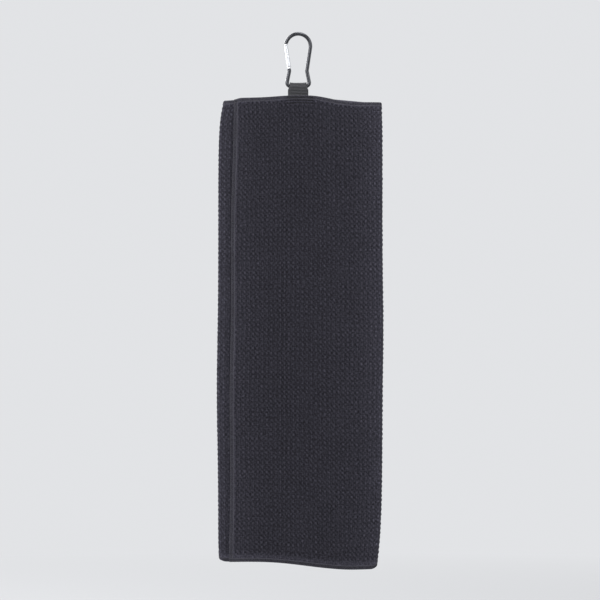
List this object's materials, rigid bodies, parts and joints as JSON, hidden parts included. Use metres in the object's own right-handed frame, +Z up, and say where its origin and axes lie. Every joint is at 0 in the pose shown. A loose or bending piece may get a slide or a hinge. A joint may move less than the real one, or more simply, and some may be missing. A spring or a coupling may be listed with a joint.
{
  "type": "golf towel with carabiner",
  "caption": "Tri-fold square waffle-weave golf towel hanging from a webbing loop on a small gourd-shaped carabiner with a hinged spring gate.",
  "frame": {"origin": "point inside the top of the carabiner's head where a bag ring bears; the towel hangs below it", "axes": "+X towards the towel's right-hand fold seen from the front, +Y towards its back, +Z up along the hanging towel"},
  "size_m": [0.143, 0.0066, 0.4626],
  "materials": {
    "frame_metal": "dark anodised, glossy",
    "gate_metal": "bright polished",
    "rivet_metal": "plain steel",
    "cloth": "waffle-weave microfibre, charcoal black",
    "edge_thread": "overlock thread, charcoal",
    "webbing": "ribbed polyester webbing, charcoal",
    "sewing_thread": "sewing thread, charcoal"
  },
  "bodies": {
    "carabiner": {"carabiner_frame": "frame_metal"},
    "gate": {"gate_sleeve": "gate_metal", "gate_pivot_rivet": "rivet_metal", "gate_latch_rivet": "rivet_metal", "gate_spring": "rivet_metal"},
    "plunger": {"gate_plunger": "rivet_metal"},
    "towel": {"webbing_loop": "webbing", "tack_stitches": "sewing_thread", "towel_cloth": "cloth", "top_edge_overlock": "edge_thread", "bottom_edge_overlock": "edge_thread", "inner_edge_overlock": "edge_thread"},
    "flap": {"front_flap": "cloth", "flap_edge_overlock": "edge_thread"}
  },
  "joints": [
    {"name": "gate_hinge", "type": "hinge", "parent": "carabiner", "child": "gate", "pos_m": [-0.00814, 0, -0.027], "axis": [0, 1, 0], "range_deg": [0, 50], "stiffness_Nm_per_rad": 0.05, "springref_deg": -20.05},
    {"name": "plunger_slide", "type": "slide", "parent": "gate", "child": "plunger", "axis": [-0.1478, 0, 0.989], "range_m": [0, 0.0006], "deforming": ["gate_spring"]},
    {"name": "loop_swing", "type": "hinge", "parent": "carabiner", "child": "towel", "pos_m": [0, 0, -0.044], "axis": [1, 0, 0], "range_deg": [-95, 95]},
    {"name": "flap_turn", "type": "hinge", "parent": "towel", "child": "flap", "pos_m": [-0.012, -0.0038, -0.2562], "axis": [0, 0, 1], "range_deg": [0, 150]}
  ],
  "couplings": [
    {"joint": "plunger_slide", "follows": "gate_hinge", "m_per_rad": 0.00056}
  ]
}
